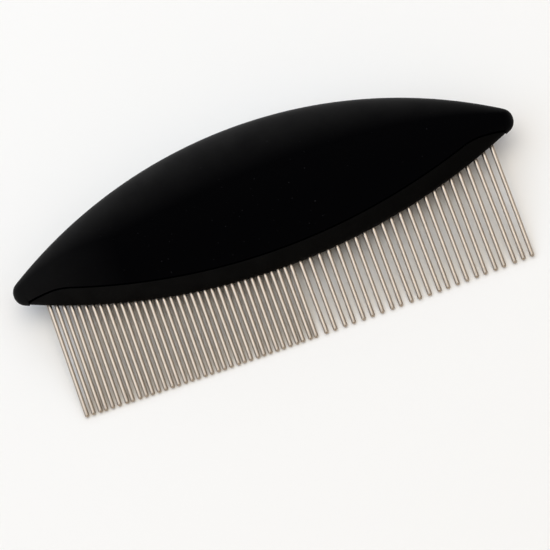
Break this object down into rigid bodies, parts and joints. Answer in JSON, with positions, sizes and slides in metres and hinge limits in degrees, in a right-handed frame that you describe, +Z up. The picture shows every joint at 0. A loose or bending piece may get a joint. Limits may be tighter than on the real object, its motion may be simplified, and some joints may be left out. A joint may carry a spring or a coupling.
{
  "type": "pet grooming comb",
  "caption": "Palm-held grooming comb: a half-moon soft-touch handle with a row of round steel pins, close-set on one side and wide-set on the other.",
  "frame": {"origin": "on the table the comb rests on, under the centre of its outline", "axes": "+X along the row towards the wide-set pins, +Y from the pin tips to the back of the handle, +Z up off the table; the comb lies on its face with the tips touching the table, so the row of pins slopes down towards -Y by 14.0 degrees"},
  "size_m": [0.1652, 0.0694, 0.0262],
  "materials": {
    "soft_grip": "soft-touch matte",
    "bar_plastic": "fine spark-eroded matte",
    "core_plastic": "as moulded, hidden",
    "pin_steel": "polished wire"
  },
  "bodies": {
    "root": {"grip": "soft_grip", "core": "core_plastic", "pin_bar": "bar_plastic", "head_strip": "core_plastic", "fine_pins_01": "pin_steel", "fine_pins_02": "pin_steel", "fine_pins_03": "pin_steel", "fine_pins_04": "pin_steel", "fine_pins_05": "pin_steel", "fine_pins_06": "pin_steel", "fine_pins_07": "pin_steel", "fine_pins_08": "pin_steel", "fine_pins_09": "pin_steel", "fine_pins_10": "pin_steel", "fine_pins_11": "pin_steel", "fine_pins_12": "pin_steel", "fine_pins_13": "pin_steel", "fine_pins_14": "pin_steel", "fine_pins_15": "pin_steel", "fine_pins_16": "pin_steel", "fine_pins_17": "pin_steel", "fine_pins_18": "pin_steel", "coarse_pin_01": "pin_steel", "coarse_pin_02": "pin_steel", "coarse_pin_03": "pin_steel", "coarse_pin_04": "pin_steel", "coarse_pin_05": "pin_steel", "coarse_pin_06": "pin_steel", "coarse_pin_07": "pin_steel", "coarse_pin_08": "pin_steel", "coarse_pin_09": "pin_steel", "coarse_pin_10": "pin_steel", "coarse_pin_11": "pin_steel", "coarse_pin_12": "pin_steel", "coarse_pin_13": "pin_steel", "coarse_pin_14": "pin_steel", "coarse_pin_15": "pin_steel", "coarse_pin_16": "pin_steel", "coarse_pin_17": "pin_steel", "coarse_pin_18": "pin_steel", "coarse_pin_19": "pin_steel", "coarse_pin_20": "pin_steel", "coarse_pin_21": "pin_steel", "coarse_pin_22": "pin_steel", "coarse_pin_23": "pin_steel"}
  },
  "joints": []
}
